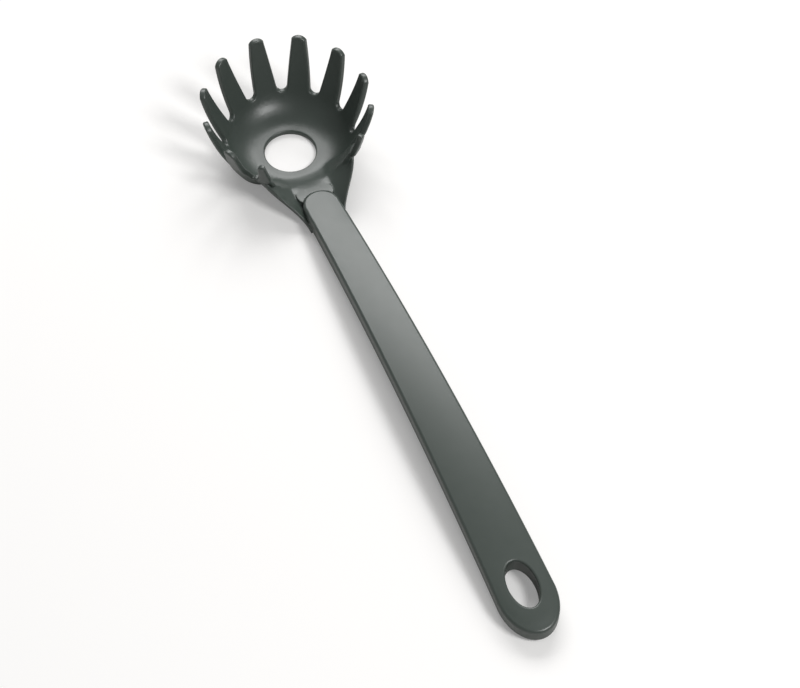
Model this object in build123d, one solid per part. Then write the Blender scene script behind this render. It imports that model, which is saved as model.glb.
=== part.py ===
from build123d import *
import math
import os

# Origin: centre of the drain hole on the table, +X to the hang hole, +Z up, millimetres.

# Bowl
DRAIN_HOLE_DIAMETER = 22.0
REST_RING_DIAMETER = 26.0
BOWL_WALL = 2.6
BOWL_CURVE_RADIUS = 19.0
BOWL_CURVE_ANGLE = 62.0
DRAIN_EDGE_ROUND = 0.8

# Fingers
FINGER_COUNT = 11
FINGER_PITCH_ANGLE = 28.6
FINGER_TIP_HEIGHT = 36.8
FINGER_TIP_RADIUS = 4.05
FINGER_CURVE_RADIUS = 110.0
FINGER_EDGE_ROUND = 0.8
NOTCH_ROOT_HEIGHT = 11.2
NOTCH_ROOT_RADIUS = 2.4
NOTCH_FLARE_ANGLE = 10.0
NECK_NOTCH_ANGLE = 25.6
NECK_NOTCH_HEIGHT = 7.6
NECK_NOTCH_RADIUS = 2.8

# Handle, whose top follows one arch from end to end
HANDLE_FRONT_X = 29.0
HANDLE_END_X = 262.0
HANDLE_DEPTH = 8.0
HANDLE_FRONT_WIDTH = 16.2
HANDLE_END_WIDTH = 24.2
HANDLE_END_ROUND_LENGTH = 17.0
ARCH_RADIUS = 770.0
ARCH_TOP_X = 146.0
CROWN_RADIUS = 70.0
HEEL_LIFT = 0.05
TOP_EDGE_ROUND = 1.3
BOTTOM_EDGE_ROUND = 2.4

# Hang hole
HANG_HOLE_X = 241.2
HANG_HOLE_LENGTH = 18.2
HANG_HOLE_WIDTH = 10.4
HANG_COLLAR_WALL = 2.2
HANG_EDGE_ROUND = 0.8

# Handle shells
COVER_DEPTH = 5.0
COVER_WALL = 2.0
COVER_PROUD = 1.0
BASE_FLOOR = 1.6
SIDE_WALL = 2.0
JOINT_GAP = 0.1
RIM_WALL = 0.9
RIM_RISE = 1.0
RIB_WALL = 1.2
RIB_COUNT = 3
RIB_FIRST_X = 122.0
RIB_PITCH = 36.0

# Neck, its two wings and the tang
NECK_END_X = 46.0
CREST_END_X = 33.5
CREST_CORNER_RADIUS = 4.0
CREST_ROUND = 8.0
SADDLE_DROP = 1.2
WING_THICKNESS = 2.8
WING_ROOT_X = 23.0
WING_ROOT_WIDTH = 36.6
WING_BOWL_X = 17.0
WING_BOWL_WIDTH = 46.0
WING_INNER_STEP = 3.0
WING_END_STEP = 0.3
WING_EDGE_ROUND = 0.8
WING_TURN_RADIUS = 15.6
WING_TURN_ANGLE = 26.6
WING_END_HEIGHT = 4.2
WING_SLOPE_ANGLE = 4.9
WING_DISH_ANGLE = 16.7
TANG_LENGTH = 66.0
TANG_WIDTH = 11.0
TANG_END_ROUND = 3.0
TANG_ROOF_GAP = 0.4

# Pins that join the two shells, the first of them through the tang
PIN_DIAMETER = 3.0
PIN_GAP = 0.1
BOSS_WALL = 1.5
PIN_SEAT_FLOOR = 0.8
TANG_PIN_X = 64.0
TANG_PIN_PITCH = 32.0
TANG_PIN_COUNT = 2
REAR_PIN_X = 140.0
REAR_PIN_PITCH = 36.0
REAR_PIN_COUNT = 3

OVERRUN = 5.0
HALF_TURN = 180.0
HALF_SHARE = 0.5

drain_radius = DRAIN_HOLE_DIAMETER * HALF_SHARE
rest_radius = REST_RING_DIAMETER * HALF_SHARE
front_half_width = HANDLE_FRONT_WIDTH * HALF_SHARE
end_half_width = HANDLE_END_WIDTH * HALF_SHARE
end_taper_x = HANDLE_END_X - HANDLE_END_ROUND_LENGTH
head_reach = rest_radius + BOWL_CURVE_RADIUS + FINGER_TIP_HEIGHT
pin_radius = PIN_DIAMETER * HALF_SHARE

heel_x = HANDLE_END_X - BOTTOM_EDGE_ROUND
bottom_radius = ARCH_RADIUS - HANDLE_DEPTH
arch_centre_z = HEEL_LIFT - math.sqrt(bottom_radius ** 2 - (heel_x - ARCH_TOP_X) ** 2)
arch_axis = Axis((ARCH_TOP_X, 0, arch_centre_z), (0, 1, 0))
arch_swing = math.degrees((ARCH_TOP_X + head_reach) / ARCH_RADIUS)


def arch_height(x, depth=0):
    """Height at x of the surface that lies depth below the handle's top line."""
    radius = ARCH_RADIUS - depth
    return arch_centre_z + math.sqrt(radius ** 2 - (x - ARCH_TOP_X) ** 2)


def half_width(x):
    """Half the handle's width at x along its straight taper."""
    share = (x - HANDLE_FRONT_X) / (end_taper_x - HANDLE_FRONT_X)
    return front_half_width + share * (end_half_width - front_half_width)


neck_half_width = half_width(NECK_END_X)


def arch_slab(upper, lower, crowned=False):
    """The layer between two depths below the handle's top line, crowned across on request."""
    reach = HANDLE_END_WIDTH
    top = arch_centre_z + ARCH_RADIUS - upper
    bottom = arch_centre_z + ARCH_RADIUS - lower
    sag = CROWN_RADIUS - math.sqrt(CROWN_RADIUS ** 2 - reach ** 2) if crowned else 0
    with BuildSketch(Plane.YZ.offset(ARCH_TOP_X)) as section:
        with BuildLine():
            Polyline((reach, top - sag), (reach, bottom), (-reach, bottom), (-reach, top - sag))
            if crowned:
                ThreePointArc((-reach, top - sag), (0, top), (reach, top - sag))
            else:
                Line((-reach, top), (reach, top))
        make_face()
    start = section.sketch.rotate(arch_axis, -arch_swing)
    return revolve(start, arch_axis, arch_swing + arch_swing)


def handle_plan(inset=0, front_x=HANDLE_FRONT_X, round_front=True):
    """The handle's outline seen from above, drawn inset from its edge."""
    start_x = front_x + inset
    front_half = half_width(start_x) - inset
    end_half = end_half_width - inset
    side_x = start_x + front_half if round_front else start_x
    with BuildSketch() as plan:
        with BuildLine():
            if round_front:
                ThreePointArc((side_x, front_half), (start_x, 0), (side_x, -front_half))
            else:
                Line((side_x, front_half), (side_x, -front_half))
            Line((side_x, -front_half), (end_taper_x, -end_half))
            EllipticalCenterArc((end_taper_x, 0), HANDLE_END_ROUND_LENGTH - inset, end_half, -90,
                                arc_size=HALF_TURN)
            Line((end_taper_x, end_half), (side_x, front_half))
        make_face()
    return plan.sketch


def column(plan):
    """A plan outline run up through the whole handle and head."""
    return extrude(Pos(0, 0, -OVERRUN) * plan, head_reach)


def hang_oval(wall=0):
    """The hang hole's oval as a column, larger all round by a wall."""
    oval = Ellipse(HANG_HOLE_LENGTH * HALF_SHARE + wall, HANG_HOLE_WIDTH * HALF_SHARE + wall)
    return column(Pos(HANG_HOLE_X, 0) * oval)


def bowl_wall():
    """Bowl and finger wall turned about the drain hole's axis."""
    turn = BOWL_CURVE_ANGLE
    outer = BOWL_CURVE_RADIUS
    shift = FINGER_CURVE_RADIUS - outer
    centre = (rest_radius, outer)
    finger_centre_x = rest_radius - shift * math.sin(math.radians(turn))
    finger_centre_z = outer + shift * math.cos(math.radians(turn))
    finger_centre = (finger_centre_x, finger_centre_z)
    tip_turn = math.degrees(math.acos((finger_centre_z - FINGER_TIP_HEIGHT) / FINGER_CURVE_RADIUS))
    with BuildSketch(Plane.XZ) as section:
        with BuildLine():
            Line((drain_radius, 0), (rest_radius, 0))
            CenterArc(centre, outer, -90, turn)
            below = CenterArc(finger_centre, FINGER_CURVE_RADIUS, turn - 90, tip_turn - turn)
            above = CenterArc(finger_centre, FINGER_CURVE_RADIUS - BOWL_WALL, turn - 90, tip_turn - turn)
            Line(below @ 1, above @ 1)
            CenterArc(centre, outer - BOWL_WALL, -90, turn)
            Line((rest_radius, BOWL_WALL), (drain_radius, BOWL_WALL))
            Line((drain_radius, BOWL_WALL), (drain_radius, 0))
        make_face()
    bowl = revolve(section.sketch, Axis.Z)
    rim = bowl.edges().filter_by(lambda edge: math.hypot((edge @ 0).X, (edge @ 0).Y) < drain_radius + JOINT_GAP)
    return fillet(rim.filter_by(GeomType.CIRCLE), DRAIN_EDGE_ROUND)


def bowl_hollow():
    """The room inside the bowl, up to the fingertips."""
    with BuildSketch(Plane.XZ) as section:
        with BuildLine():
            Line((0, BOWL_WALL), (rest_radius, BOWL_WALL))
            inner = BOWL_CURVE_RADIUS - BOWL_WALL
            side = CenterArc((rest_radius, BOWL_CURVE_RADIUS), inner, -90, BOWL_CURVE_ANGLE)
            lip = side @ 1
            Polyline(lip, (lip.X, FINGER_TIP_HEIGHT), (0, FINGER_TIP_HEIGHT), (0, BOWL_WALL))
        make_face()
    return revolve(section.sketch, Axis.Z)


def radial_plane(angle):
    """The upright plane through the drain axis whose normal points outward at angle from +X."""
    heading = math.radians(angle)
    outward = (math.cos(heading), math.sin(heading), 0)
    sideways = (-math.sin(heading), math.cos(heading), 0)
    return Plane(origin=(0, 0, 0), x_dir=sideways, z_dir=outward)


def notch_cutter(angle, root_height, root_radius):
    """The flared gap between two fingers, cut outward through the wall."""
    flare = math.radians(NOTCH_FLARE_ANGLE)
    centre_z = root_height + root_radius
    side_x = root_radius * math.cos(flare)
    side_z = centre_z - root_radius * math.sin(flare)
    top_z = FINGER_TIP_HEIGHT + OVERRUN
    top_x = side_x + (top_z - side_z) * math.tan(flare)
    with BuildSketch(radial_plane(angle)) as gap:
        with BuildLine():
            ThreePointArc((-side_x, side_z), (0, root_height), (side_x, side_z))
            Polyline((side_x, side_z), (top_x, top_z), (-top_x, top_z), (-side_x, side_z))
        make_face()
    return extrude(gap.sketch, head_reach)


def tip_cutter(angle):
    """What is cut from one fingertip to leave it round."""
    tip = FINGER_TIP_RADIUS
    shoulder = FINGER_TIP_HEIGHT - tip
    top = FINGER_TIP_HEIGHT + OVERRUN
    side = tip + BOWL_WALL
    with BuildSketch(radial_plane(angle)) as outline:
        with BuildLine():
            ThreePointArc((-tip, shoulder), (0, FINGER_TIP_HEIGHT), (tip, shoulder))
            Polyline((tip, shoulder), (side, shoulder), (side, top), (-side, top), (-side, shoulder),
                     (-tip, shoulder))
        make_face()
    return extrude(outline.sketch, head_reach)


def finger_angle(position):
    """Angle from +X of a finger, or of a gap at a half position, counted from beside the neck."""
    spread = FINGER_PITCH_ANGLE * (FINGER_COUNT - 1)
    return HALF_TURN - spread * HALF_SHARE + FINGER_PITCH_ANGLE * position


def finger_cutters():
    """Every gap between fingers, the lower gap on each side of the neck, and the round tips."""
    cutters = [tip_cutter(finger_angle(finger)) for finger in range(FINGER_COUNT)]
    for gap in range(FINGER_COUNT - 1):
        angle = finger_angle(gap + HALF_SHARE)
        cutters.append(notch_cutter(angle, NOTCH_ROOT_HEIGHT, NOTCH_ROOT_RADIUS))
    for angle in (NECK_NOTCH_ANGLE, -NECK_NOTCH_ANGLE):
        cutters.append(notch_cutter(angle, NECK_NOTCH_HEIGHT, NECK_NOTCH_RADIUS))
    return cutters


def neck_beam():
    """The beam under the handle's front end, flat on the table and then rising with the handle."""
    end_z = arch_height(NECK_END_X, HANDLE_DEPTH)
    slope = math.asin((ARCH_TOP_X - NECK_END_X) / bottom_radius)
    blend = end_z / (1 - math.cos(slope))
    blend_x = NECK_END_X - blend * math.sin(slope)
    middle = slope * HALF_SHARE
    middle_point = (blend_x + blend * math.sin(middle), blend - blend * math.cos(middle))
    with BuildSketch(Plane.XZ) as side:
        with BuildLine():
            Line((rest_radius, 0), (blend_x, 0))
            ThreePointArc((blend_x, 0), middle_point, (NECK_END_X, end_z))
            Polyline((NECK_END_X, end_z), (NECK_END_X, FINGER_TIP_HEIGHT), (rest_radius, FINGER_TIP_HEIGHT),
                     (rest_radius, 0))
        make_face()
    beam = extrude(side.sketch, neck_half_width, both=True)
    low = beam.edges().filter_by(lambda edge: abs(edge.center().Y) > front_half_width)
    low = low.filter_by(lambda edge: edge.center().Z < end_z and edge.tangent_at(0).X ** 2 > HALF_SHARE)
    beam = fillet(low, BOTTOM_EDGE_ROUND)
    return beam - arch_slab(-FINGER_TIP_HEIGHT, COVER_DEPTH)


def neck_crest():
    """The raised end of the neck, round whose middle the cover's lip fits."""
    length = CREST_END_X - rest_radius
    width = neck_half_width + neck_half_width
    plan = RectangleRounded(length + length, width, CREST_CORNER_RADIUS)
    plan &= Rectangle(length, width, align=(Align.MIN, Align.CENTER))
    crest = extrude(Pos(rest_radius, 0) * plan, head_reach) & arch_slab(COVER_PROUD, COVER_DEPTH + JOINT_GAP)
    crest -= bowl_hollow()
    brow = edges_near(crest, COVER_PROUD - JOINT_GAP, COVER_PROUD + JOINT_GAP).filter_by(
        lambda edge: is_on_wall(edge @ HALF_SHARE, inner=True))
    return fillet(brow, CREST_ROUND)


def wing(side):
    """One thin wing that spreads from the neck's side out to the bowl."""
    inner_y = neck_half_width - WING_INNER_STEP
    start_y = neck_half_width + WING_END_STEP
    turn = math.radians(WING_TURN_ANGLE)
    turned_x = NECK_END_X - WING_TURN_RADIUS * math.sin(turn)
    turned_y = start_y + WING_TURN_RADIUS * (1 - math.cos(turn))
    half_turned_x = NECK_END_X - WING_TURN_RADIUS * math.sin(turn * HALF_SHARE)
    half_turned_y = start_y + WING_TURN_RADIUS * (1 - math.cos(turn * HALF_SHARE))
    with BuildSketch() as plan:
        with BuildLine():
            ThreePointArc((NECK_END_X, start_y), (half_turned_x, half_turned_y), (turned_x, turned_y))
            Polyline((turned_x, turned_y), (WING_ROOT_X, WING_ROOT_WIDTH * HALF_SHARE),
                     (WING_BOWL_X, WING_BOWL_WIDTH * HALF_SHARE), (rest_radius, inner_y),
                     (NECK_END_X, inner_y), (NECK_END_X, start_y))
        make_face()
    face = Plane((NECK_END_X, neck_half_width, WING_END_HEIGHT)) * Rot(WING_DISH_ANGLE, WING_SLOPE_ANGLE, 0)
    plate = face * Box(head_reach + head_reach, head_reach + head_reach, WING_THICKNESS,
                       align=(Align.CENTER, Align.CENTER, Align.MAX))
    shape = plate & column(plan.sketch)
    rim = shape.edges().filter_by(lambda edge: edge.center().Y > start_y and abs(edge.tangent_at(0).Z) < HALF_SHARE)
    rim = rim.filter_by(lambda edge: edge.center().X > WING_ROOT_X)
    shape = fillet(rim, WING_EDGE_ROUND) - arch_slab(HANDLE_DEPTH, HANDLE_DEPTH + head_reach)
    return shape if side > 0 else shape.mirror(Plane.XZ)


def saddle_cutter():
    """What is cut from the bowl's rear wall, down to the neck and up again to the gap on each side."""
    gap_angle = math.radians(NECK_NOTCH_ANGLE)
    gap_reach = rest_radius + BOWL_CURVE_RADIUS * math.sin(math.acos(1 - NECK_NOTCH_HEIGHT / BOWL_CURVE_RADIUS))
    gap_y = gap_reach * math.sin(gap_angle)
    low_z = arch_height(WING_ROOT_X, COVER_PROUD) - SADDLE_DROP
    with BuildSketch(Plane.YZ) as saddle:
        with BuildLine():
            Polyline((-gap_y, head_reach), (-gap_y, NECK_NOTCH_HEIGHT), (-neck_half_width, low_z),
                     (neck_half_width, low_z), (gap_y, NECK_NOTCH_HEIGHT), (gap_y, head_reach),
                     (-gap_y, head_reach))
        make_face()
    return extrude(saddle.sketch, head_reach)


def lip_room():
    """The room the cover's lip takes in the neck."""
    return column(handle_plan(-JOINT_GAP)) & arch_slab(-head_reach, COVER_DEPTH)


def pin_places(first_x, pitch, count):
    """Pins in a row along the handle's middle."""
    return [Pos(first_x + pitch * place, 0) for place in range(count)]


def tongue():
    """The block that fills the cover's lip, and the tang that runs back from it between the shells."""
    block = handle_plan(SIDE_WALL + JOINT_GAP) & Rectangle(NECK_END_X, HANDLE_END_WIDTH,
                                                           align=(Align.MIN, Align.CENTER))
    bar = Rectangle(TANG_LENGTH + OVERRUN, TANG_WIDTH, align=(Align.MIN, Align.CENTER))
    bar = Pos(NECK_END_X - OVERRUN, 0) * bar
    bar = fillet(bar.vertices().group_by(Axis.X)[-1], TANG_END_ROUND)
    plan = block + bar
    for place in pin_places(TANG_PIN_X, TANG_PIN_PITCH, TANG_PIN_COUNT):
        plan -= place * Circle(pin_radius + PIN_GAP)
    return column(plan) & arch_slab(COVER_WALL + TANG_ROOF_GAP, COVER_DEPTH)


def serving_head():
    """Bowl, fingers, neck, wings and tang in one piece."""
    wall = bowl_wall() - finger_cutters()
    wall = fillet(finger_edges(wall, inner=True), FINGER_EDGE_ROUND)
    wall = fillet(finger_edges(wall, inner=False), FINGER_EDGE_ROUND)
    neck = (neck_beam() + wing(1) + wing(-1)) - bowl_hollow() + neck_crest() - lip_room()
    return (wall - saddle_cutter()) + neck + tongue()


def finger_edges(wall, inner):
    """The edges of fingers and gaps on the bowl's inner or outer side."""
    found = []
    for edge in wall.edges():
        points = [edge @ 0, edge @ HALF_SHARE, edge @ 1]
        if all(point.Z > NECK_NOTCH_HEIGHT - BOWL_WALL and is_on_wall(point, inner) for point in points):
            found.append(edge)
    return found


def is_on_wall(point, inner):
    """Whether a point lies on the bowl's inner or outer surface."""
    return abs(math.hypot(point.X, point.Y) - wall_reach(point.Z, inner)) < JOINT_GAP


def wall_reach(z, inner):
    """Distance from the drain axis to the bowl's inner or outer surface at a height."""
    turn = math.radians(BOWL_CURVE_ANGLE)
    wall = BOWL_WALL if inner else 0
    if z < BOWL_CURVE_RADIUS - (BOWL_CURVE_RADIUS - wall) * math.cos(turn):
        return rest_radius + math.sqrt((BOWL_CURVE_RADIUS - wall) ** 2 - (BOWL_CURVE_RADIUS - z) ** 2)
    shift = FINGER_CURVE_RADIUS - BOWL_CURVE_RADIUS
    centre_z = BOWL_CURVE_RADIUS + shift * math.cos(turn)
    return rest_radius - shift * math.sin(turn) + math.sqrt((FINGER_CURVE_RADIUS - wall) ** 2 - (centre_z - z) ** 2)


def edges_near(shape, upper, lower):
    """Edges of a shape whose middles lie between two depths below the handle's top line."""
    return shape.edges().filter_by(
        lambda edge: arch_height((edge @ HALF_SHARE).X, lower) < (edge @ HALF_SHARE).Z
        < arch_height((edge @ HALF_SHARE).X, upper))


def cross_ribs(width):
    """Outlines of the ribs that cross a shell between its pins."""
    places = pin_places(RIB_FIRST_X, RIB_PITCH, RIB_COUNT)
    return [column(place * Rectangle(RIB_WALL, width)) for place in places]


def all_pin_places():
    """Every pin along the handle."""
    tang_pins = pin_places(TANG_PIN_X, TANG_PIN_PITCH, TANG_PIN_COUNT)
    return tang_pins + pin_places(REAR_PIN_X, REAR_PIN_PITCH, REAR_PIN_COUNT)


def handle_cover():
    """The handle's upper shell with its lip, crowned top, ribs, collar and pins."""
    block = column(handle_plan())
    shell = block & arch_slab(0, COVER_DEPTH, crowned=True)
    shell = fillet(top_edges(shell), TOP_EDGE_ROUND)
    inside = arch_slab(COVER_WALL, COVER_DEPTH + OVERRUN, crowned=True)
    room = column(handle_plan(SIDE_WALL)) & inside
    for rib in cross_ribs(HANDLE_END_WIDTH):
        room -= rib
    room -= hang_oval(HANG_COLLAR_WALL)
    shell = shell - room - hang_oval()
    rib_foot = arch_slab(COVER_DEPTH - RIM_RISE - JOINT_GAP, COVER_DEPTH)
    shell -= rib_foot & column(handle_plan(SIDE_WALL)) - hang_oval(HANG_COLLAR_WALL)
    shell = fillet(hole_edges(shell, -OVERRUN, COVER_WALL), HANG_EDGE_ROUND)
    pin_end = HANDLE_DEPTH - PIN_SEAT_FLOOR - PIN_GAP
    for place in all_pin_places():
        shell += column(place * Circle(pin_radius)) & arch_slab(COVER_WALL - PIN_GAP, pin_end)
    return shell


def handle_base():
    """The handle's lower shell with its floor, locating rim, ribs, collar and pin seats."""
    front_x = NECK_END_X + JOINT_GAP
    block = column(handle_plan(0, front_x, False))
    shell = block & arch_slab(COVER_DEPTH, HANDLE_DEPTH)
    low = edges_near(shell, HANDLE_DEPTH - JOINT_GAP, HANDLE_DEPTH + JOINT_GAP)
    shell = fillet(low.filter_by(lambda edge: edge.center().X > front_x + OVERRUN), BOTTOM_EDGE_ROUND)
    rim_outer = column(handle_plan(SIDE_WALL + JOINT_GAP, front_x, False))
    rim_inner = column(handle_plan(SIDE_WALL + JOINT_GAP + RIM_WALL, front_x, False))
    rim = (rim_outer - rim_inner) & arch_slab(COVER_DEPTH - RIM_RISE, COVER_DEPTH)
    tang_room = Pos(NECK_END_X, 0) * Rectangle(TANG_LENGTH + OVERRUN, HANDLE_END_WIDTH,
                                               align=(Align.MIN, Align.CENTER))
    rim -= column(tang_room)
    room = rim_inner & arch_slab(COVER_DEPTH - OVERRUN, HANDLE_DEPTH - BASE_FLOOR)
    for rib in cross_ribs(HANDLE_END_WIDTH):
        room -= rib
    room -= hang_oval(HANG_COLLAR_WALL)
    for place in all_pin_places():
        room -= column(place * Circle(pin_radius + PIN_GAP + BOSS_WALL))
    shell = shell - room + rim - hang_oval()
    shell = fillet(hole_edges(shell, HANDLE_DEPTH - JOINT_GAP, HANDLE_DEPTH + OVERRUN), HANG_EDGE_ROUND)
    seat_end = HANDLE_DEPTH - PIN_SEAT_FLOOR
    for place in all_pin_places():
        shell -= column(place * Circle(pin_radius + PIN_GAP)) & arch_slab(-OVERRUN, seat_end)
    return shell


def top_edges(shell):
    """The edges round the top face of the cover's shell."""
    top = shell.faces().filter_by(lambda face: face.normal_at().Z > HALF_SHARE)
    return top.sort_by(SortBy.AREA)[-1].edges()


def hole_edges(shell, upper, lower):
    """The hang hole's rim between two depths."""
    near = edges_near(shell, upper, lower)
    reach = HANG_HOLE_LENGTH * HALF_SHARE + JOINT_GAP
    return near.filter_by(lambda edge: abs((edge @ 0).X - HANG_HOLE_X) < reach
                          and abs((edge @ 0).Y) < HANG_HOLE_WIDTH * HALF_SHARE + JOINT_GAP)


def main():
    """Write each piece as its own STEP file."""
    os.makedirs("parts", exist_ok=True)
    export_step(serving_head(), "parts/serving_head.step")
    export_step(handle_cover(), "parts/handle_cover.step")
    export_step(handle_base(), "parts/handle_base.step")


if __name__ == "__main__":
    main()
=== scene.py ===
import math

import bmesh
import bpy
from mathutils import Matrix, Vector


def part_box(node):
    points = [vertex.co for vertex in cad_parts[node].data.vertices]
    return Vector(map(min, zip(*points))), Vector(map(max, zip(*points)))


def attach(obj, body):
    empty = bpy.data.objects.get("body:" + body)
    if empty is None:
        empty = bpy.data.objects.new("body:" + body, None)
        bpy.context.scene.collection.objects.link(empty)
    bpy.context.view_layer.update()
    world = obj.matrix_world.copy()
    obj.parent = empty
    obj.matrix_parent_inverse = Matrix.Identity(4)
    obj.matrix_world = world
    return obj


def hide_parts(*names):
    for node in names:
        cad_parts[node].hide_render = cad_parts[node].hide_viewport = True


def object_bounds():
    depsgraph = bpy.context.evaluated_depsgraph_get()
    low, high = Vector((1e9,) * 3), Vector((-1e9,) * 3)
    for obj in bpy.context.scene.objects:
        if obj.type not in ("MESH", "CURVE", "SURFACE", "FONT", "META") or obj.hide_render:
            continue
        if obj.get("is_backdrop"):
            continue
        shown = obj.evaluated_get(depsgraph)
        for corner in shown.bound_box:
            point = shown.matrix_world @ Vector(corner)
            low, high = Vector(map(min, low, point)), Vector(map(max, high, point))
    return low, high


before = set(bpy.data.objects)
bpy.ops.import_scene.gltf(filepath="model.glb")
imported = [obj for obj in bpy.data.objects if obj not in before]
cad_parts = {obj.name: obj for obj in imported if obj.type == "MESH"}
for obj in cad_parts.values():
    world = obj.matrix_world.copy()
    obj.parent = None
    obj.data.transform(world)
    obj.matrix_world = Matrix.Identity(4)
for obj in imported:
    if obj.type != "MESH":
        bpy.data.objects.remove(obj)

bl_info = {
    "name": "Pasta server",
    "version": (1, 0, 0),
    "blender": (4, 5, 0),
    "location": "3D View > Sidebar > Pasta server",
    "description": "Finishes a nylon pasta server's pieces and sets its stage",
    "category": "Object",
}

# Real lengths are in metres, in the frame of the solids. A pair holds where a smooth step
# starts and where it ends.

# The low part of the neck, which stays as the solid has it.
HELD_NECK_X = (0.016, 0.030)
HELD_NECK_Z = (0.008, 0.016)

# How far past their settings the webs' rise and swell start, hold or run out, and the heights
# over which they fade.
LIFT_RUN_OUT = 0.002
LIFT_FADE_Z = (0.011, 0.025)
SWELL_START = 0.003
SWELL_HOLD = 0.008
SWELL_RUN_OUT = 0.004
SWELL_FADE_Z = (0.012, 0.026)
NARROWEST_WEB = 0.0005

# The head's middle, where a point has no direction, the radii over which the fingers' turn
# comes in, and those and the heights over which the drain ring's growth fades.
AXIS_RADIUS = 0.001
TURN_RADII = (0.016, 0.026)
RING_RADII = (0.0135, 0.019)
RING_Z = (0.003, 0.006)

# The top of the neck that is blended, how far its faces look up, and each pass's share.
BLEND_START_X = (0.0145, 0.018)
BLEND_END_X = (0.040, 0.045)
BLEND_TOP_Z = (0.014, 0.018)
LIP_SIDE_Y = (0.0088, 0.0105)
LIP_FRONT_X = (0.0245, 0.0275)
LOOKING_UP = (-0.25, 0.1)
BLEND_STEP = 0.6
SHORTEST_EDGE = 0.00005

# The box around the neck where long edges are halved, and the rounds that this takes.
HALVED_X = (0.012, 0.047)
HALVED_HALF_WIDTH = 0.027
HALVED_TOP = 0.026
HALVING_ROUNDS = 5

# The gaps that are welded in the solid's mesh, and the slivers that are taken out of it.
WELDED_GAP = 0.000001
SLIVER = 0.000002

# The sizes, as multiples of the hang hole, over which its opening fades.
HOLE_FADE = (1.45, 2.2)

# The nylon's coarse grain as a share of the fine one's scale, the streaks of the melt, and the
# pointiness from which an edge is painted paler: a painted highlight on edges and fingertips.
COARSE_GRAIN = 0.09
STREAK_STRETCH = (0.35, 1.0, 1.0)
STREAK_SCALE = 70.0
HIGHLIGHT_FROM = 0.52
HIGHLIGHT_GAIN = 12.0

# The stage. The floor lies just below the solids, and its fade to white ends at a multiple of
# the clear radius.
WHITE = (1.0, 1.0, 1.0, 1.0)
FLOOR_COLOR = (0.76, 0.75, 0.74, 1.0)
FLOOR_ROUGHNESS = 0.9
FLOOR_GAP = 0.00005
FLOOR_FADE = 2.0
BACK_LIGHT = {"place": (-1.12, 0.42, 1.12), "aim": (0.05, 0.0, 0.0), "size": (1.5, 0.8)}
SIDE_LIGHT = {"place": (0.92, 0.52, 1.26), "aim": (0.08, 0.0, 0.0), "size": (0.45, 0.45)}
SENSOR_WIDTH = 36.0
NEAREST_SEEN = 0.01


def new_group(name, inputs, outputs):
    """A shader node group with named sockets: the group, its input node and its output node."""
    group = bpy.data.node_groups.new(name, "ShaderNodeTree")
    for socket, kind, default in inputs:
        made = group.interface.new_socket(socket, in_out="INPUT", socket_type=kind)
        made.default_value = default
    for socket, kind in outputs:
        group.interface.new_socket(socket, in_out="OUTPUT", socket_type=kind)
    entry = group.nodes.new("NodeGroupInput")
    leave = group.nodes.new("NodeGroupOutput")
    entry.location = (-900, 0)
    leave.location = (500, 0)
    return group, entry, leave


def maths(group, operation, first, second, place):
    """A Math node fed by sockets or plain numbers."""
    node = group.nodes.new("ShaderNodeMath")
    node.operation = operation
    node.location = place
    for socket, value in zip(node.inputs, (first, second)):
        if isinstance(value, (int, float)):
            socket.default_value = value
        else:
            group.links.new(value, socket)
    return node.outputs[0]


def noise(group, scale, detail, place, vector):
    """A noise texture on a vector, whose scale may be a socket."""
    node = group.nodes.new("ShaderNodeTexNoise")
    node.location = place
    node.inputs["Detail"].default_value = detail
    group.links.new(vector, node.inputs["Vector"])
    if isinstance(scale, (int, float)):
        node.inputs["Scale"].default_value = scale
    else:
        group.links.new(scale, node.inputs["Scale"])
    return node.outputs["Fac"]


def spark_grain_group():
    """The fine even grain that a spark-eroded mould leaves on nylon."""
    group, entry, leave = new_group(
        "mould_grain",
        [
            ("Grain Size", "NodeSocketFloat", 0.00035),
            ("Grain Depth", "NodeSocketFloat", 0.00001),
            ("Roughness", "NodeSocketFloat", 0.45),
            ("Roughness Spread", "NodeSocketFloat", 0.05),
        ],
        [("Height", "NodeSocketFloat"), ("Roughness", "NodeSocketFloat")],
    )
    place = group.nodes.new("ShaderNodeTexCoord")
    place.location = (-900, -250)
    scale = maths(group, "DIVIDE", 1.0, entry.outputs["Grain Size"], (-700, 100))
    fine = noise(group, scale, 2.0, (-500, 100), place.outputs["Object"])
    coarse_scale = maths(group, "MULTIPLY", scale, COARSE_GRAIN, (-700, -100))
    coarse = noise(group, coarse_scale, 3.0, (-500, -150), place.outputs["Object"])
    height = maths(group, "MULTIPLY", fine, entry.outputs["Grain Depth"], (-250, 150))
    centred = maths(group, "SUBTRACT", coarse, 0.5, (-250, -50))
    spread = maths(group, "MULTIPLY", centred, entry.outputs["Roughness Spread"], (0, -50))
    rough = maths(group, "ADD", spread, entry.outputs["Roughness"], (200, -50))
    group.links.new(height, leave.inputs["Height"])
    group.links.new(rough, leave.inputs["Roughness"])
    return group


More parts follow.
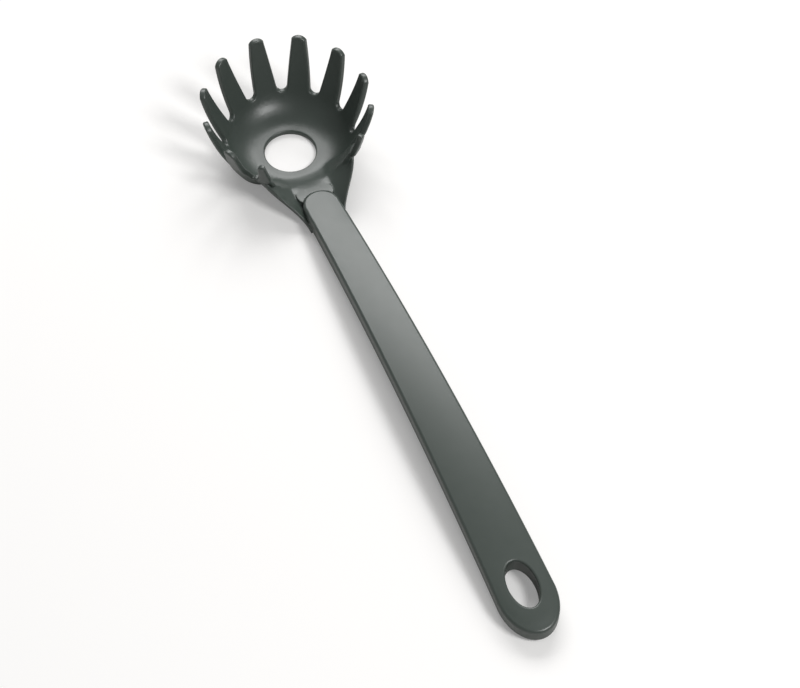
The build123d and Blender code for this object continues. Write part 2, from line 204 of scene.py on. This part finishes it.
def flow_tint_and_edge_highlight_group():
    """Faint streaks of dyed nylon along the melt's run, and a painted highlight on pointed edges.
    """
    group, entry, leave = new_group(
        "dyed_nylon_and_edge_highlight",
        [
            ("Base Color", "NodeSocketColor", (0.05, 0.055, 0.05, 1.0)),
            ("Mottle", "NodeSocketFloat", 0.05),
            ("Edge Highlight", "NodeSocketFloat", 0.15),
            ("Highlight Color", "NodeSocketColor", (0.12, 0.125, 0.12, 1.0)),
        ],
        [("Color", "NodeSocketColor")],
    )
    place = group.nodes.new("ShaderNodeTexCoord")
    place.location = (-900, -250)
    stretch = group.nodes.new("ShaderNodeMapping")
    stretch.location = (-700, -250)
    stretch.inputs["Scale"].default_value = STREAK_STRETCH
    group.links.new(place.outputs["Object"], stretch.inputs["Vector"])
    cloud = noise(group, STREAK_SCALE, 4.0, (-500, -250), stretch.outputs["Vector"])
    centred = maths(group, "SUBTRACT", cloud, 0.5, (-300, -250))
    spread = maths(group, "MULTIPLY", centred, entry.outputs["Mottle"], (-120, -250))
    gain = maths(group, "ADD", spread, 1.0, (40, -250))
    shade = group.nodes.new("ShaderNodeMix")
    shade.data_type = "RGBA"
    shade.blend_type = "MULTIPLY"
    shade.inputs["Factor"].default_value = 1.0
    shade.location = (120, 0)
    group.links.new(entry.outputs["Base Color"], shade.inputs["A"])
    group.links.new(gain, shade.inputs["B"])
    # Painted highlight: pointed edges and fingertips are paled towards the highlight colour.
    geometry = group.nodes.new("ShaderNodeNewGeometry")
    geometry.location = (-500, 250)
    pointed = geometry.outputs["Pointiness"]
    ridge = maths(group, "SUBTRACT", pointed, HIGHLIGHT_FROM, (-300, 250))
    sharp = maths(group, "MULTIPLY", ridge, HIGHLIGHT_GAIN, (-120, 250))
    sharp.node.use_clamp = True
    highlight_share = maths(group, "MULTIPLY", sharp, entry.outputs["Edge Highlight"], (40, 250))
    highlight = group.nodes.new("ShaderNodeMix")
    highlight.data_type = "RGBA"
    highlight.location = (320, 100)
    group.links.new(highlight_share, highlight.inputs["Factor"])
    group.links.new(shade.outputs["Result"], highlight.inputs["A"])
    group.links.new(entry.outputs["Highlight Color"], highlight.inputs["B"])
    group.links.new(highlight.outputs["Result"], leave.inputs["Color"])
    return group


def group_node(tree, group, place, values):
    """A node that uses a group in a material, with its sockets set."""
    node = tree.nodes.new("ShaderNodeGroup")
    node.node_tree = group
    node.location = place
    for socket, value in values.items():
        node.inputs[socket].default_value = value
    return node


def nylon(name, settings):
    """Matte dyed nylon from the two groups."""
    material = bpy.data.materials.new(name)
    material.use_nodes = True
    tree = material.node_tree
    shader = tree.nodes["Principled BSDF"]
    grain_group = bpy.data.node_groups.get("mould_grain") or spark_grain_group()
    grain = group_node(tree, grain_group, (-500, -200), {
        "Grain Size": settings.grain_size,
        "Grain Depth": settings.grain_depth,
        "Roughness": settings.roughness,
        "Roughness Spread": settings.roughness_spread,
    })
    # The tint group also paints a highlight on pointed edges.
    tint_group = bpy.data.node_groups.get("dyed_nylon_and_edge_highlight") or flow_tint_and_edge_highlight_group()
    tint = group_node(tree, tint_group, (-500, 150), {
        "Base Color": (*settings.color, 1.0),
        "Mottle": settings.mottle,
        "Edge Highlight": settings.edge_highlight,
        "Highlight Color": (*settings.highlight_color, 1.0),
    })
    bump = tree.nodes.new("ShaderNodeBump")
    bump.location = (-250, -300)
    bump.inputs["Strength"].default_value = 1.0
    bump.inputs["Distance"].default_value = 1.0
    tree.links.new(grain.outputs["Height"], bump.inputs["Height"])
    tree.links.new(bump.outputs["Normal"], shader.inputs["Normal"])
    tree.links.new(grain.outputs["Roughness"], shader.inputs["Roughness"])
    tree.links.new(tint.outputs["Color"], shader.inputs["Base Color"])
    shader.inputs["IOR"].default_value = settings.ior
    return material


def ramp(value, low, high):
    """A smooth step from 0 at low to 1 at high."""
    share = min(1.0, max(0.0, (value - low) / (high - low)))
    return share * share * (3.0 - 2.0 * share)


def wall_freedom(point):
    """1 on the bowl's wall and fingers, and 0 low on the neck, which has to meet the handle."""
    return 1.0 - ramp(point.x, *HELD_NECK_X) * (1.0 - ramp(point.z, *HELD_NECK_Z))


def web_lift(point, settings):
    """How far a point of a web rises, so that its rim runs from the last finger to the lip."""
    across = abs(point.y)
    inner = settings.web_inner
    if across <= inner:
        return 0.0
    start, root, end = settings.web_start_x, settings.web_root_x, settings.web_end_x
    along = min(1.0, max(0.0, (point.x - root) / (end - root)))
    widening = settings.web_end_half_width - settings.web_root_half_width
    rim = settings.web_root_half_width + widening * along
    share = min(1.0, (across - inner) / max(NARROWEST_WEB, rim - inner))
    rise = settings.web_end_lift - settings.web_root_lift
    height = settings.web_root_lift + rise * along
    reach = ramp(point.x, start, root) * (1.0 - ramp(point.x, end, end + LIFT_RUN_OUT))
    return height * share ** settings.web_hollow * reach * (1.0 - ramp(point.z, *LIFT_FADE_Z))


def web_swell(point, settings):
    """How far a point of a web's rim stands further out than the solid's."""
    across = abs(point.y)
    if across <= settings.web_inner:
        return 0.0
    start, root, end = settings.web_start_x, settings.web_root_x, settings.web_end_x
    share = ramp(across, settings.web_inner, settings.web_root_half_width)
    reach = ramp(point.x, start + SWELL_START, root) * (
        1.0 - ramp(point.x, root + SWELL_HOLD, end + SWELL_RUN_OUT))
    return settings.web_root_swell * share * reach * (1.0 - ramp(point.z, *SWELL_FADE_Z))


def settled(point, settings):
    """Where a point of the solid's wall, fingers or webs belongs in the real moulding."""
    radius = math.hypot(point.x, point.y)
    raised = point.z + web_lift(point, settings)
    free = wall_freedom(point)
    if radius < AXIS_RADIUS:
        return Vector((point.x, point.y, raised))
    turn = math.atan2(point.y, -point.x)
    place = abs(turn) / settings.finger_pitch
    shift = settings.pitch_gain * place - settings.pitch_crowding * place ** 3
    spread = math.radians(max(0.0, shift))
    turn += math.copysign(spread, turn) * ramp(radius, *TURN_RADII)
    share = point.z / settings.tip_height
    growth = settings.ring_growth * (1.0 - ramp(radius, *RING_RADII))
    radius += growth * (1.0 - ramp(point.z, *RING_Z))
    radius -= settings.tip_draw * share * free
    drop = settings.tip_drop - settings.tip_drop_swing * math.cos(turn)
    return Vector((
        -radius * math.cos(turn) - settings.lean * point.z * free,
        radius * math.sin(turn) + math.copysign(web_swell(point, settings), point.y),
        raised - drop * share * free,
    ))


def on_neck(point):
    """1 on the top of the neck between bowl, webs and lip, fading out towards each of them."""
    across = abs(point.y)
    beside_lip = ramp(across, *LIP_SIDE_Y)
    before_lip = 1.0 - ramp(point.x, *LIP_FRONT_X)
    return (ramp(point.x, *BLEND_START_X) * (1.0 - ramp(point.x, *BLEND_END_X))
            * max(beside_lip, before_lip) * (1.0 - ramp(point.z, *BLEND_TOP_Z)))


def blend_neck(work, passes):
    """Ease the neck's top into bowl and webs, with the underside left as it is."""
    work.normal_update()
    shares = {}
    for vert in work.verts:
        share = on_neck(vert.co) * ramp(vert.normal.z, *LOOKING_UP)
        if share > 0.0:
            shares[vert] = share
    for _ in range(passes):
        moved = {}
        for vert, share in shares.items():
            total = Vector((0.0, 0.0, 0.0))
            weight = 0.0
            for edge in vert.link_edges:
                length = max(edge.calc_length(), SHORTEST_EDGE)
                total += edge.other_vert(vert).co / length
                weight += 1.0 / length
            moved[vert] = vert.co.lerp(total / weight, BLEND_STEP * share)
        for vert, place in moved.items():
            vert.co = place


def near_neck(edge):
    """Whether an edge lies around the neck, the webs or the last fingers."""
    middle = (edge.verts[0].co + edge.verts[1].co) / 2
    low, high = HALVED_X
    return low < middle.x < high and abs(middle.y) < HALVED_HALF_WIDTH and middle.z < HALVED_TOP


def refined(work, longest, rounds):
    """Halve long edges around the neck for a smooth form. The mesh stays closed."""
    for _ in range(rounds):
        chosen = [
            edge for edge in work.edges if edge.calc_length() > longest and near_neck(edge)]
        chosen.sort(key=lambda edge: edge.calc_length(), reverse=True)
        for edge in chosen:
            middle = bmesh.utils.edge_split(edge, edge.verts[0], 0.5)[1]
            for face in list(middle.link_faces):
                corners = list(face.verts)
                across = corners[(corners.index(middle) + 2) % 4]
                bmesh.utils.face_split(face, middle, across)


def moulded_head(source, settings):
    """The head as one closed mesh with the real one's leaning fingers, webs and blended neck."""
    work = bmesh.new()
    work.from_mesh(source.data)
    bmesh.ops.remove_doubles(work, verts=work.verts, dist=WELDED_GAP)
    bmesh.ops.dissolve_degenerate(work, edges=work.edges, dist=SLIVER)
    bmesh.ops.triangulate(work, faces=[face for face in work.faces if len(face.verts) > 3])
    refined(work, settings.mesh_step, HALVING_ROUNDS)
    blend_neck(work, settings.neck_passes)
    for vert in work.verts:
        vert.co = settled(vert.co, settings)
    bmesh.ops.recalc_face_normals(work, faces=work.faces)
    for face in work.faces:
        face.smooth = True
    mesh = bpy.data.meshes.new("moulded_head")
    work.to_mesh(mesh)
    work.free()
    mesh.materials.clear()
    mesh.set_sharp_from_angle(angle=math.radians(settings.sharp_angle))
    head = bpy.data.objects.new("moulded_head", mesh)
    bpy.context.scene.collection.objects.link(head)
    steady = head.modifiers.new("steady_normals", "WEIGHTED_NORMAL")
    steady.keep_sharp = True
    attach(head, "root")
    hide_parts("serving_head")
    return head


def opened(point, settings):
    """Where a point of a handle shell belongs round the wider hang hole."""
    along = point.x - settings.hole_x
    length, width = settings.hole_length / 2, settings.hole_width / 2
    ring = math.hypot(along / length, point.y / width)
    near = 1.0 - ramp(ring, *HOLE_FADE)
    longer = settings.open_length / settings.hole_length - 1.0
    wider = settings.open_width / settings.hole_width - 1.0
    return Vector((
        settings.hole_x + along * (1.0 + longer * near),
        point.y * (1.0 + wider * near),
        point.z,
    ))


def opened_shell(source, name, settings):
    """One handle shell with the solid's form and the real tool's wider hang hole."""
    mesh = source.data.copy()
    mesh.name = name
    mesh.materials.clear()
    for vert in mesh.vertices:
        vert.co = opened(vert.co, settings)
    shell = bpy.data.objects.new(name, mesh)
    bpy.context.scene.collection.objects.link(shell)
    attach(shell, "root")
    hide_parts(source.name)
    return shell


class HandleSettings(bpy.types.PropertyGroup):
    """The hang hole through both shells of the handle."""

    hole_x: bpy.props.FloatProperty(
        name="Hole place", description="Middle of the hang hole along the handle",
        subtype="DISTANCE", unit="LENGTH", default=0.2412, precision=4)
    hole_length: bpy.props.FloatProperty(
        name="Solid's hole length", description="Length of the hang hole in the solids",
        subtype="DISTANCE", unit="LENGTH", default=0.0182, precision=4)
    hole_width: bpy.props.FloatProperty(
        name="Solid's hole width", description="Width of the hang hole in the solids",
        subtype="DISTANCE", unit="LENGTH", default=0.0104, precision=4)
    open_length: bpy.props.FloatProperty(
        name="Hole length", description="Length of the real hang hole",
        subtype="DISTANCE", unit="LENGTH", default=0.0200, precision=4)
    open_width: bpy.props.FloatProperty(
        name="Hole width", description="Width of the real hang hole",
        subtype="DISTANCE", unit="LENGTH", default=0.0118, precision=4)


class HeadSettings(bpy.types.PropertyGroup):
    """How the moulded head departs from the plain solid."""

    lean: bpy.props.FloatProperty(
        name="Lean", description="Forward shift of the wall for each unit of height",
        default=0.072)
    tip_height: bpy.props.FloatProperty(
        name="Tip height", description="Height of the solid's fingertips",
        subtype="DISTANCE", unit="LENGTH", default=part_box("serving_head")[1][2], precision=4)
    tip_drop: bpy.props.FloatProperty(
        name="Tip drop", description="Mean amount by which the fingertips stand lower",
        subtype="DISTANCE", unit="LENGTH", default=0.0034, precision=4)
    tip_drop_swing: bpy.props.FloatProperty(
        name="Tip drop swing",
        description="How much less the front tips drop, and more the back ones",
        subtype="DISTANCE", unit="LENGTH", default=0.0018, precision=4)
    tip_draw: bpy.props.FloatProperty(
        name="Tip draw", description="How far the fingertips stand nearer the middle",
        subtype="DISTANCE", unit="LENGTH", default=0.0015, precision=4)
    finger_pitch: bpy.props.FloatProperty(
        name="Finger pitch", description="Angle from finger to finger of the solid",
        subtype="ANGLE", unit="ROTATION", default=math.radians(28.6))
    pitch_gain: bpy.props.FloatProperty(
        name="Pitch gain", description="Degrees by which the front fingers stand further apart",
        default=1.7)
    pitch_crowding: bpy.props.FloatProperty(
        name="Pitch crowding",
        description="Degrees by which the fingers crowd towards the neck, per place cubed",
        default=0.066, precision=4)
    ring_growth: bpy.props.FloatProperty(
        name="Ring growth", description="How far the drain hole and its ring are wider in radius",
        subtype="DISTANCE", unit="LENGTH", default=0.0005, precision=4)
    web_start_x: bpy.props.FloatProperty(
        name="Web start", description="Where the webs begin to rise",
        subtype="DISTANCE", unit="LENGTH", default=0.012, precision=4)
    web_root_x: bpy.props.FloatProperty(
        name="Web root", description="Where the webs stand highest",
        subtype="DISTANCE", unit="LENGTH", default=0.0215, precision=4)
    web_end_x: bpy.props.FloatProperty(
        name="Web end", description="Where the webs meet the handle",
        subtype="DISTANCE", unit="LENGTH", default=0.0445, precision=4)
    web_inner: bpy.props.FloatProperty(
        name="Web foot", description="Half width at which a web starts to rise",
        subtype="DISTANCE", unit="LENGTH", default=0.0086, precision=4)
    web_root_half_width: bpy.props.FloatProperty(
        name="Web root half width", description="Half width over the webs at their root",
        subtype="DISTANCE", unit="LENGTH", default=0.0178, precision=4)
    web_end_half_width: bpy.props.FloatProperty(
        name="Web end half width", description="Half width over the webs at the handle",
        subtype="DISTANCE", unit="LENGTH", default=0.0092, precision=4)
    web_root_lift: bpy.props.FloatProperty(
        name="Web root lift", description="How much higher the rim stands at the root",
        subtype="DISTANCE", unit="LENGTH", default=0.0078, precision=4)
    web_end_lift: bpy.props.FloatProperty(
        name="Web end lift", description="How much higher the rim stands at the handle",
        subtype="DISTANCE", unit="LENGTH", default=0.0008, precision=4)
    web_root_swell: bpy.props.FloatProperty(
        name="Web root swell", description="How much further out the rim stands at the root",
        subtype="DISTANCE", unit="LENGTH", default=0.0030, precision=4)
    web_hollow: bpy.props.FloatProperty(
        name="Web hollow", description="Power of the webs' hollow: 1 is straight", default=1.5)
    neck_passes: bpy.props.IntProperty(
        name="Neck passes", description="Passes that ease the neck into the bowl", default=40)
    mesh_step: bpy.props.FloatProperty(
        name="Mesh step", description="Longest edge around the neck",
        subtype="DISTANCE", unit="LENGTH", default=0.0009, precision=5)
    sharp_angle: bpy.props.FloatProperty(
        name="Sharp angle", description="Degrees between faces from which an edge stays crisp",
        default=38.0)


class NylonSettings(bpy.types.PropertyGroup):
    """Look of the dyed nylon."""

    color: bpy.props.FloatVectorProperty(
        name="Color", description="Base colour of the nylon", subtype="COLOR", size=3,
        min=0.0, max=1.0, default=(0.047, 0.060, 0.052))
    # Painted highlight: the colour towards which pointed edges are paled, and how far they go.
    highlight_color: bpy.props.FloatVectorProperty(
        name="Highlight color", description="Colour painted on pointed edges as a highlight",
        subtype="COLOR", size=3, min=0.0, max=1.0, default=(0.115, 0.125, 0.115))
    edge_highlight: bpy.props.FloatProperty(
        name="Edge highlight", description="How far pointed edges are painted towards the wear colour",
        default=0.25)
    mottle: bpy.props.FloatProperty(
        name="Mottle", description="Share by which the colour varies", default=0.08)
    roughness: bpy.props.FloatProperty(
        name="Roughness", description="Mean roughness of the surface", default=0.37)
    roughness_spread: bpy.props.FloatProperty(
        name="Roughness spread", description="How much roughness varies over the surface",
        default=0.06)
    grain_size: bpy.props.FloatProperty(
        name="Grain size", description="Width of one grain of the mould's texture",
        subtype="DISTANCE", unit="LENGTH", default=0.0004, precision=5)
    grain_depth: bpy.props.FloatProperty(
        name="Grain depth", description="Depth of the mould's texture", subtype="DISTANCE",
        unit="LENGTH", default=0.000012, precision=6)
    ior: bpy.props.FloatProperty(
        name="IOR", description="Refractive index that gives the nylon its gloss", default=1.59)


class StageSettings(bpy.types.PropertyGroup):
    """Floor, lights and camera."""

    floor_size: bpy.props.FloatProperty(
        name="Floor size", description="Side of the square floor",
        subtype="DISTANCE", unit="LENGTH", default=6.0)
    clear_radius: bpy.props.FloatProperty(
        name="Clear radius", description="Distance within which the floor keeps its shadows",
        subtype="DISTANCE", unit="LENGTH", default=0.45)
    shadow_paleness: bpy.props.FloatProperty(
        name="Shadow paleness",
        description="White that the camera sees added to the floor's shadows",
        default=0.2)
    camera_place: bpy.props.FloatVectorProperty(
        name="Camera place", description="Where the camera stands",
        subtype="TRANSLATION", unit="LENGTH", size=3, default=(0.59082, -0.21842, 0.76039))
    camera_aim: bpy.props.FloatVectorProperty(
        name="Camera aim", description="Point that the camera looks at", subtype="TRANSLATION",
        unit="LENGTH", size=3, default=(0.113183, 0.0041754, 0.0))
    camera_roll: bpy.props.FloatProperty(
        name="Camera roll", description="Turn about the line of sight", subtype="ANGLE",
        unit="ROTATION", default=0.032858)
    lens: bpy.props.FloatProperty(
        name="Lens", description="Focal length on a 36 mm wide sensor, in millimetres",
        default=99.085)
    world_strength: bpy.props.FloatProperty(
        name="World strength", description="Strength of the even white surround", default=0.24)
    back_power: bpy.props.FloatProperty(
        name="Back light power", description="Power of the softbox behind the object",
        subtype="POWER", unit="POWER", default=23.5)
    side_power: bpy.props.FloatProperty(
        name="Side light power", description="Power of the softbox that casts the shadow",
        subtype="POWER", unit="POWER", default=13.0)


class PASTA_OT_mould_head(bpy.types.Operator):
    """Mould the bowl with its fingers, webs and neck in nylon"""

    bl_idname = "pasta_server.mould_head"
    bl_label = "Mould serving head"

    def execute(self, context):
        scene = context.scene
        head = moulded_head(node_named("serving_head"), scene.pasta_head)
        head.data.materials.append(nylon("head_nylon", scene.pasta_nylon))
        return {"FINISHED"}


class PASTA_OT_mould_handle(bpy.types.Operator):
    """Mould both shells of the handle in nylon"""

    bl_idname = "pasta_server.mould_handle"
    bl_label = "Mould handle"

    def execute(self, context):
        scene = context.scene
        for part in ("cover", "base"):
            source = node_named("handle_" + part)
            slot = part + "_nylon"
            shell = opened_shell(source, "moulded_" + part, scene.pasta_handle)
            shell.data.materials.append(nylon(slot, scene.pasta_nylon))
        return {"FINISHED"}


class PASTA_OT_set_stage(bpy.types.Operator):
    """Lay the floor and set the lights and the camera"""

    bl_idname = "pasta_server.set_stage"
    bl_label = "Set stage"

    def execute(self, context):
        settings = context.scene.pasta_stage
        lay_floor(settings)
        set_world(settings)
        softbox("back_light", power=settings.back_power, **BACK_LIGHT)
        softbox("side_light", power=settings.side_power, **SIDE_LIGHT)
        set_camera(settings)
        return {"FINISHED"}


def node_named(name):
    """A CAD piece by name."""
    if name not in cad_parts:
        raise RuntimeError("the frame has no node " + name)
    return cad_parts[name]


def lay_floor(settings):
    """A plain pale floor that only shows the object's shadow."""
    half = settings.floor_size / 2
    mesh = bpy.data.meshes.new("floor")
    corners = [(-half, -half, 0), (half, -half, 0), (half, half, 0), (-half, half, 0)]
    mesh.from_pydata(corners, [], [(0, 1, 2, 3)])
    floor = bpy.data.objects.new("floor", mesh)
    bpy.context.scene.collection.objects.link(floor)
    floor.location.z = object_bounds()[0][2] - FLOOR_GAP
    material = bpy.data.materials.new("pale_floor")
    material.use_nodes = True
    shader = material.node_tree.nodes["Principled BSDF"]
    shader.inputs["Base Color"].default_value = FLOOR_COLOR
    shader.inputs["Roughness"].default_value = FLOOR_ROUGHNESS
    shader.inputs["Specular IOR Level"].default_value = 0.0
    whiten_floor(material.node_tree, shader, settings)
    floor.data.materials.append(material)
    floor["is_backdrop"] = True


def whiten_floor(tree, shader, settings):
    """The camera sees pale shadows near the object, and beyond them a plain white floor."""
    place = tree.nodes.new("ShaderNodeNewGeometry")
    place.location = (-900, -300)
    length = tree.nodes.new("ShaderNodeVectorMath")
    length.operation = "LENGTH"
    length.location = (-700, -300)
    tree.links.new(place.outputs["Position"], length.inputs[0])
    fade = tree.nodes.new("ShaderNodeMapRange")
    fade.location = (-500, -300)
    fade.inputs["From Min"].default_value = settings.clear_radius
    fade.inputs["From Max"].default_value = settings.clear_radius * FLOOR_FADE
    fade.inputs["To Min"].default_value = settings.shadow_paleness
    tree.links.new(length.outputs["Value"], fade.inputs["Value"])
    ray = tree.nodes.new("ShaderNodeLightPath")
    ray.location = (-500, -600)
    camera_ray = ray.outputs["Is Camera Ray"]
    seen = maths(tree, "MULTIPLY", fade.outputs["Result"], camera_ray, (-250, -400))
    shader.inputs["Emission Color"].default_value = WHITE
    tree.links.new(seen, shader.inputs["Emission Strength"])


def set_world(settings):
    """An even white surround, which the camera sees as plain white."""
    world = bpy.data.worlds.new("surround")
    bpy.context.scene.world = world
    world.use_nodes = True
    background = world.node_tree.nodes["Background"]
    background.inputs["Color"].default_value = WHITE
    tree = world.node_tree
    ray = tree.nodes.new("ShaderNodeLightPath")
    ray.location = (-500, 0)
    strength = tree.nodes.new("ShaderNodeMapRange")
    strength.location = (-250, 0)
    strength.inputs["To Min"].default_value = settings.world_strength
    strength.inputs["To Max"].default_value = 1.0
    tree.links.new(ray.outputs["Is Camera Ray"], strength.inputs["Value"])
    tree.links.new(strength.outputs["Result"], background.inputs["Strength"])


def softbox(name, place, aim, size, power):
    """A rectangular area light at a place, turned to an aim."""
    light = bpy.data.lights.new(name, "AREA")
    light.shape = "RECTANGLE"
    light.size, light.size_y = size
    light.energy = power
    lamp = bpy.data.objects.new(name, light)
    bpy.context.scene.collection.objects.link(lamp)
    lamp.location = place
    lamp.rotation_euler = (Vector(aim) - Vector(place)).to_track_quat("-Z", "Y").to_euler()
    return lamp


def set_camera(settings):
    """The camera at the photograph's angle."""
    camera = bpy.data.cameras.new("camera")
    camera.sensor_width = SENSOR_WIDTH
    camera.sensor_fit = "HORIZONTAL"
    camera.lens = settings.lens
    camera.clip_start = NEAREST_SEEN
    eye = bpy.data.objects.new("camera", camera)
    bpy.context.scene.collection.objects.link(eye)
    place = Vector(settings.camera_place)
    line = Vector(settings.camera_aim) - place
    upright = line.to_track_quat("-Z", "Y").to_matrix().to_4x4()
    roll = Matrix.Rotation(settings.camera_roll, 4, "Z")
    eye.matrix_world = Matrix.Translation(place) @ upright @ roll
    bpy.context.scene.camera = eye
    bpy.context.scene.view_settings.view_transform = "Standard"


class PASTA_PT_panel(bpy.types.Panel):
    """The add-on's sidebar panel."""

    bl_idname = "PASTA_PT_panel"
    bl_label = "Pasta server"
    bl_space_type = "VIEW_3D"
    bl_region_type = "UI"
    bl_category = "Pasta server"

    def draw(self, context):
        layout = self.layout
        scene = context.scene
        for group in (scene.pasta_head, scene.pasta_handle, scene.pasta_nylon, scene.pasta_stage):
            box = layout.box()
            for name in group.__annotations__:
                box.prop(group, name)
        layout.operator("pasta_server.mould_head")
        layout.operator("pasta_server.mould_handle")
        layout.operator("pasta_server.set_stage")


CLASSES = (
    HandleSettings,
    HeadSettings,
    NylonSettings,
    StageSettings,
    PASTA_OT_mould_head,
    PASTA_OT_mould_handle,
    PASTA_OT_set_stage,
    PASTA_PT_panel,
)


def register():
    """Register the classes and their settings."""
    for cls in CLASSES:
        bpy.utils.register_class(cls)
    bpy.types.Scene.pasta_handle = bpy.props.PointerProperty(type=HandleSettings)
    bpy.types.Scene.pasta_head = bpy.props.PointerProperty(type=HeadSettings)
    bpy.types.Scene.pasta_nylon = bpy.props.PointerProperty(type=NylonSettings)
    bpy.types.Scene.pasta_stage = bpy.props.PointerProperty(type=StageSettings)


def unregister():
    """Take the classes and their settings away again."""
    del bpy.types.Scene.pasta_stage
    del bpy.types.Scene.pasta_nylon
    del bpy.types.Scene.pasta_head
    del bpy.types.Scene.pasta_handle
    for cls in reversed(CLASSES):
        bpy.utils.unregister_class(cls)


def main():
    """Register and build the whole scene."""
    register()
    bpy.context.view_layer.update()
    bpy.ops.pasta_server.mould_head()
    bpy.ops.pasta_server.mould_handle()
    bpy.ops.pasta_server.set_stage()


if __name__ == "__main__":
    main()
